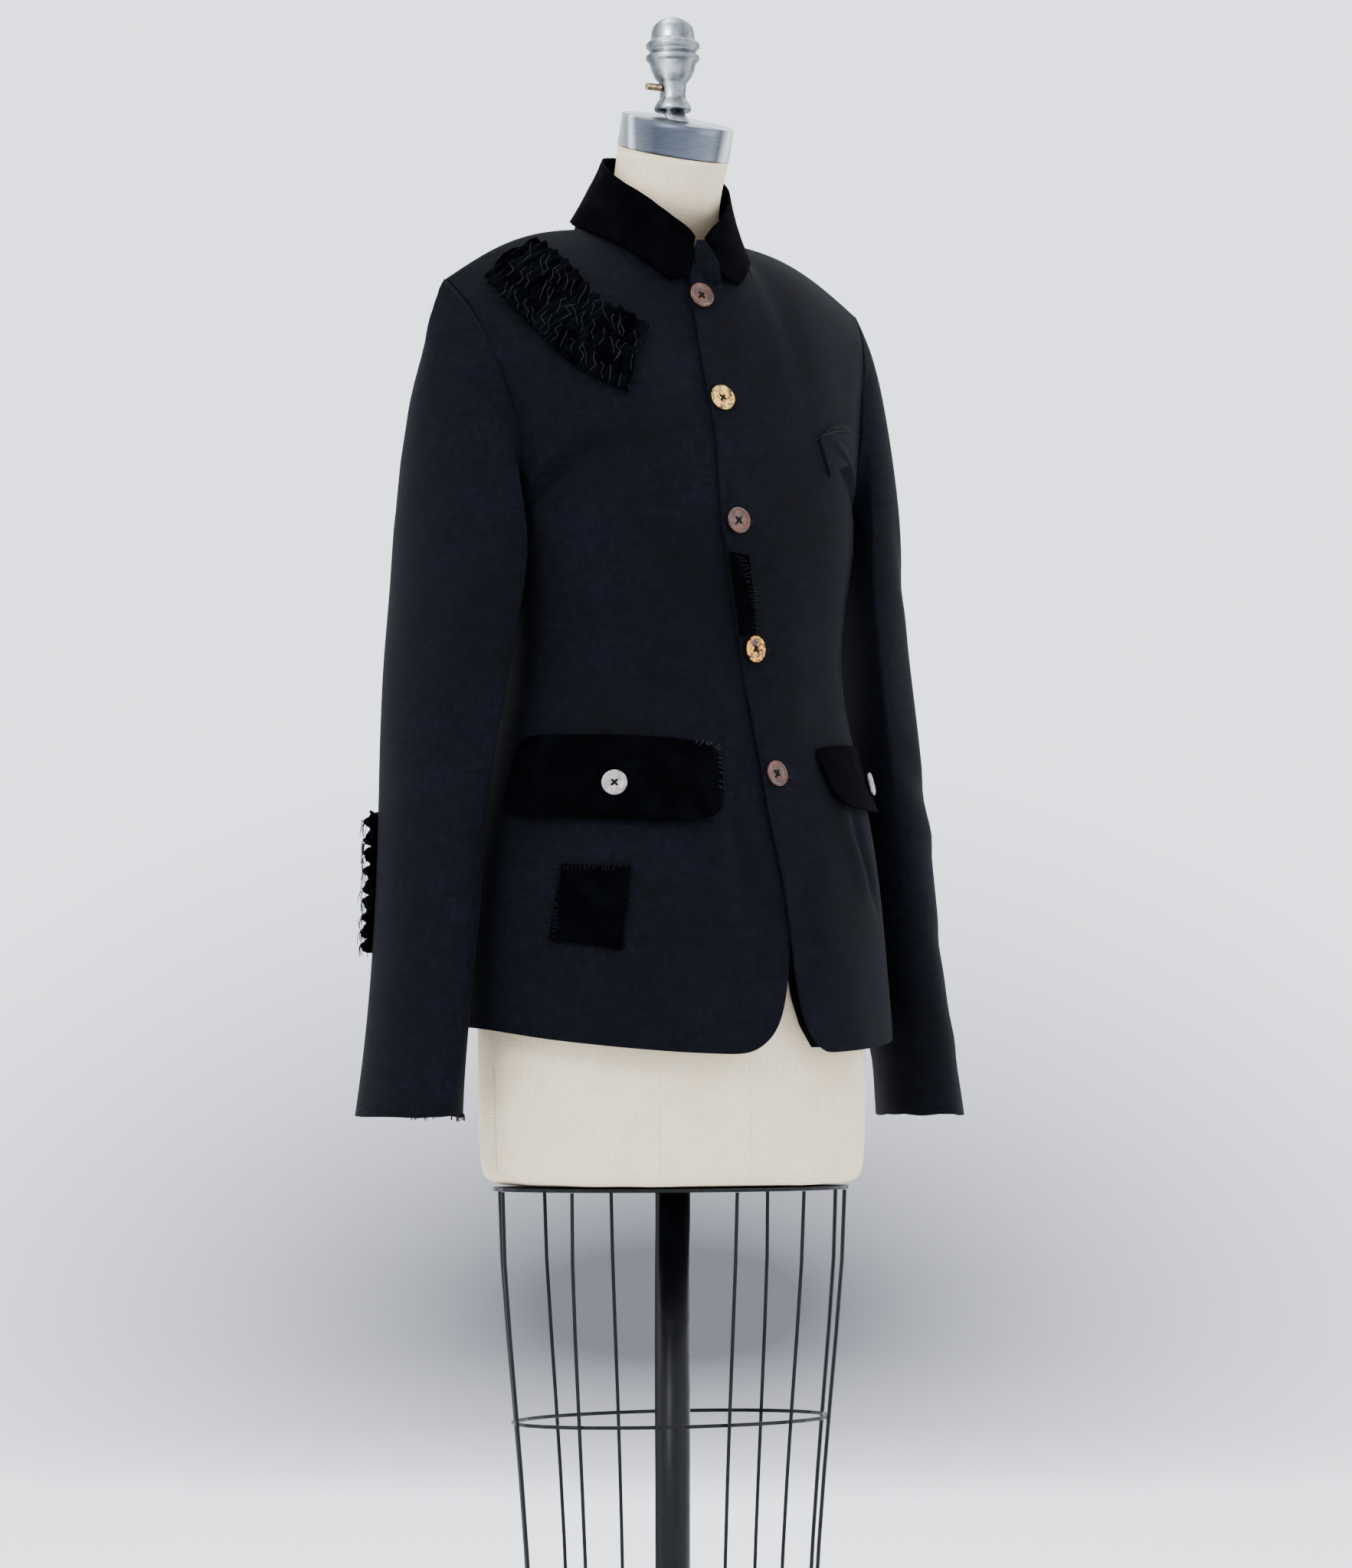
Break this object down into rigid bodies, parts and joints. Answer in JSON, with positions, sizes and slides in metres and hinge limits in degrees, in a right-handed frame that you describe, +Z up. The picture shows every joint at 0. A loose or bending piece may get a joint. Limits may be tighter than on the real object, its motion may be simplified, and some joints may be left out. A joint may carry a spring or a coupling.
{
  "type": "velvet trimmed jacket on a dress form stand",
  "caption": "Fitted stand-collar wool jacket with velvet collar, flaps and patches, buttoned on a padded dress form with a wire skirt cage, centre pole and round base.",
  "frame": {"origin": "centre of the underside of the round base", "axes": "+Z up along the pole, +X to the wearer's left, -Y to the wearer's front"},
  "size_m": [0.566, 0.41, 1.66],
  "materials": {
    "wool_cloth": "matt, slight nap",
    "velvet": "dark pile",
    "copper_button": "polished",
    "gold_button": "polished, mottled",
    "shell_button": "polished",
    "canvas": "matt",
    "aluminium": "brushed",
    "brass": "worn",
    "black_steel": "satin black enamel",
    "black_cast_iron": "satin black enamel"
  },
  "bodies": {
    "root": {"front_right": "wool_cloth", "front_left": "wool_cloth", "back_right": "wool_cloth", "back_left": "wool_cloth", "sleeve_right": "wool_cloth", "sleeve_left": "wool_cloth", "collar": "velvet", "flap_right": "velvet", "flap_left": "velvet", "breast_welt": "wool_cloth", "placket_patch": "velvet", "square_patch": "velvet", "shoulder_ruching": "velvet", "elbow_ruffle": "velvet", "button_1": "copper_button", "button_2": "gold_button", "button_3": "copper_button", "button_4": "gold_button", "button_5": "copper_button", "flap_button_right": "shell_button", "flap_button_left": "shell_button", "form_torso": "canvas", "neck_cap": "aluminium", "finial_hub": "aluminium", "finial": "aluminium", "set_screw": "brass", "cage_plate": "black_steel", "pole": "black_steel", "cage_wire_1": "black_steel", "cage_wire_2": "black_steel", "cage_wire_3": "black_steel", "cage_wire_4": "black_steel", "cage_wire_5": "black_steel", "cage_wire_6": "black_steel", "cage_wire_7": "black_steel", "cage_wire_8": "black_steel", "cage_wire_9": "black_steel", "cage_wire_10": "black_steel", "cage_wire_11": "black_steel", "cage_wire_12": "black_steel", "cage_hoop_middle": "black_steel", "cage_hoop_bottom": "black_steel", "base": "black_cast_iron"}
  },
  "joints": []
}
